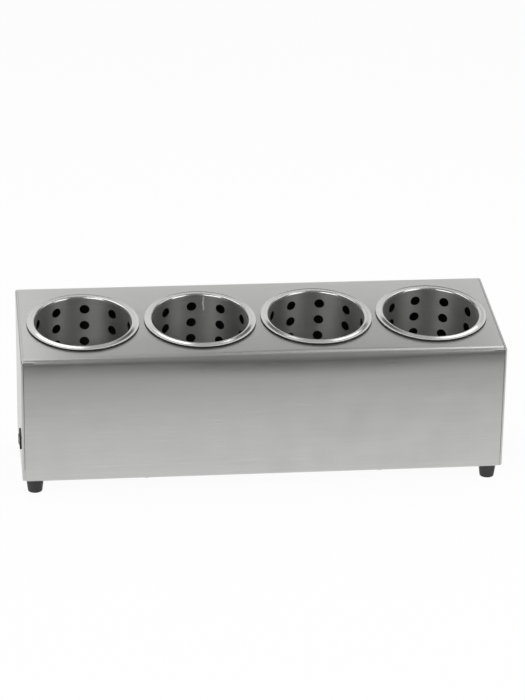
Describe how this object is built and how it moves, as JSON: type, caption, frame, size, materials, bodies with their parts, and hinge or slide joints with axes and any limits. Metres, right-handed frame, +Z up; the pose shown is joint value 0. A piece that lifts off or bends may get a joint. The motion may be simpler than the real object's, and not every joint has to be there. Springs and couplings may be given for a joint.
{
  "type": "cutlery dispenser",
  "caption": "Counter-top cutlery dispenser: a folded case with a sloping top holds perforated lift-out cylinders in a row, with a rocker switch for its heater.",
  "frame": {"origin": "on the surface that the feet stand on, under the middle of the case", "axes": "+X along the row of cylinders, to the right as the user sees it; +Y from the user to the back; +Z up"},
  "size_m": [0.4809, 0.147, 0.1649],
  "materials": {
    "case_steel": "fine brushed, grain along the case",
    "cylinder_steel": "satin, with a polished rim",
    "foot_rubber": "matt",
    "fastener_steel": "plain",
    "tray_sheet": "plain mill finish",
    "element_sheath": "dull",
    "thermostat_case": "plain",
    "contact_brass": "plain",
    "ceramic": "unglazed",
    "switch_plastic": "fine mould texture",
    "rocker_plastic": "satin",
    "inlet_plastic": "fine mould texture"
  },
  "bodies": {
    "case": {"casing_wrap": "case_steel", "left_end_panel": "case_steel", "right_end_panel": "case_steel", "base_plate": "case_steel", "foot_front_left": "foot_rubber", "foot_front_right": "foot_rubber", "foot_rear_left": "foot_rubber", "foot_rear_right": "foot_rubber", "foot_screws": "fastener_steel", "foot_nuts": "fastener_steel", "base_screws": "fastener_steel", "base_nuts": "fastener_steel", "reflector_tray": "tray_sheet", "heating_element": "element_sheath", "element_terminals": "element_sheath", "element_brackets": "tray_sheet", "thermal_cutout": "thermostat_case", "thermostat_blades": "contact_brass", "thermostat_rivets": "thermostat_case", "terminal_block": "ceramic", "block_inserts": "contact_brass", "block_screw": "fastener_steel", "block_nut": "fastener_steel", "switch_housing": "switch_plastic", "switch_terminals": "contact_brass", "power_inlet": "inlet_plastic", "inlet_pins": "contact_brass", "inlet_screws": "fastener_steel", "inlet_nuts": "fastener_steel", "earth_stud": "contact_brass", "earth_nut": "contact_brass"},
    "rocker": {"switch_rocker": "rocker_plastic"},
    "cylinder_1": {"cylinder_1_tube": "cylinder_steel", "cylinder_1_floor": "cylinder_steel"},
    "cylinder_2": {"cylinder_2_tube": "cylinder_steel", "cylinder_2_floor": "cylinder_steel"},
    "cylinder_3": {"cylinder_3_tube": "cylinder_steel", "cylinder_3_floor": "cylinder_steel"},
    "cylinder_4": {"cylinder_4_tube": "cylinder_steel", "cylinder_4_floor": "cylinder_steel"}
  },
  "joints": [
    {"name": "cylinder_1_lift", "type": "slide", "parent": "case", "child": "cylinder_1", "axis": [0, -0.1736, 0.9848], "range_m": [0, 0.13]},
    {"name": "cylinder_2_lift", "type": "slide", "parent": "case", "child": "cylinder_2", "axis": [0, -0.1736, 0.9848], "range_m": [0, 0.13]},
    {"name": "cylinder_3_lift", "type": "slide", "parent": "case", "child": "cylinder_3", "axis": [0, -0.1736, 0.9848], "range_m": [0, 0.13]},
    {"name": "cylinder_4_lift", "type": "slide", "parent": "case", "child": "cylinder_4", "axis": [0, -0.1736, 0.9848], "range_m": [0, 0.13]},
    {"name": "rocker_tilt", "type": "hinge", "parent": "case", "child": "rocker", "pos_m": [-0.238, -0.048, 0.051], "axis": [0, 0, 1], "range_deg": [0, 16]}
  ]
}
